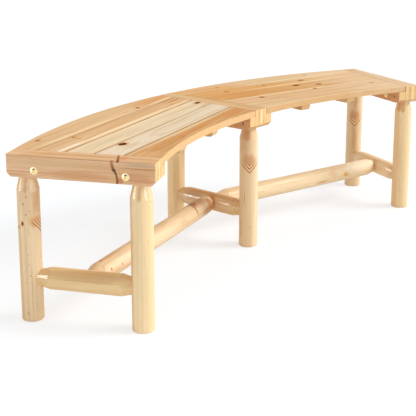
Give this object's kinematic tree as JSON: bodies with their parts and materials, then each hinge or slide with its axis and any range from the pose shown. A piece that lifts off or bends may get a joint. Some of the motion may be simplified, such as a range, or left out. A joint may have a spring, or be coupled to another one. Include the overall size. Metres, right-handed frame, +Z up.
{
  "type": "curved log bench",
  "caption": "Curved backless bench of slatted seat modules between cross rails, standing on pairs of round log legs with tenoned log stretchers.",
  "frame": {"origin": "on the floor under the centre of the whole bench's bounding box", "axes": "+X along the bench to the right as seen from its concave front, +Y to its convex back, +Z up"},
  "size_m": [1.723, 0.5844, 0.455],
  "materials": {
    "log_wood": "bare turned softwood, dry and matte, with hand-cut necks",
    "rail_wood": "planed softwood, oiled, satin",
    "cleat_wood": "planed softwood, oiled, satin",
    "board_wood": "planed softwood boards, oiled, satin, eased edges",
    "bolt_caps": "pale yellow plating, lightly worn",
    "screws": "zinc plated"
  },
  "bodies": {
    "root": {"batten_left_inner": "cleat_wood", "batten_left_outer": "cleat_wood", "batten_right_inner": "cleat_wood", "batten_right_outer": "cleat_wood", "board_left_1": "board_wood", "board_left_2": "board_wood", "board_left_3": "board_wood", "board_left_4": "board_wood", "board_left_5": "board_wood", "board_right_1": "board_wood", "board_right_2": "board_wood", "board_right_3": "board_wood", "board_right_4": "board_wood", "board_right_5": "board_wood", "board_screws_left": "screws", "board_screws_right": "screws", "bolts_centre": "bolt_caps", "bolts_left": "bolt_caps", "bolts_right": "bolt_caps", "cleat_centre_left": "cleat_wood", "cleat_centre_right": "cleat_wood", "cleat_left": "cleat_wood", "cleat_right": "cleat_wood", "cleat_screws_centre_left": "screws", "cleat_screws_centre_right": "screws", "cleat_screws_left": "screws", "cleat_screws_right": "screws", "cross_stretcher_centre": "log_wood", "cross_stretcher_left": "log_wood", "cross_stretcher_right": "log_wood", "leg_centre_back": "log_wood", "leg_centre_front": "log_wood", "leg_left_back": "log_wood", "leg_left_front": "log_wood", "leg_right_back": "log_wood", "leg_right_front": "log_wood", "long_stretcher_left": "log_wood", "long_stretcher_right": "log_wood", "nuts_centre": "bolt_caps", "nuts_left": "bolt_caps", "nuts_right": "bolt_caps", "rail_centre": "rail_wood", "rail_left": "rail_wood", "rail_right": "rail_wood"}
  },
  "joints": []
}
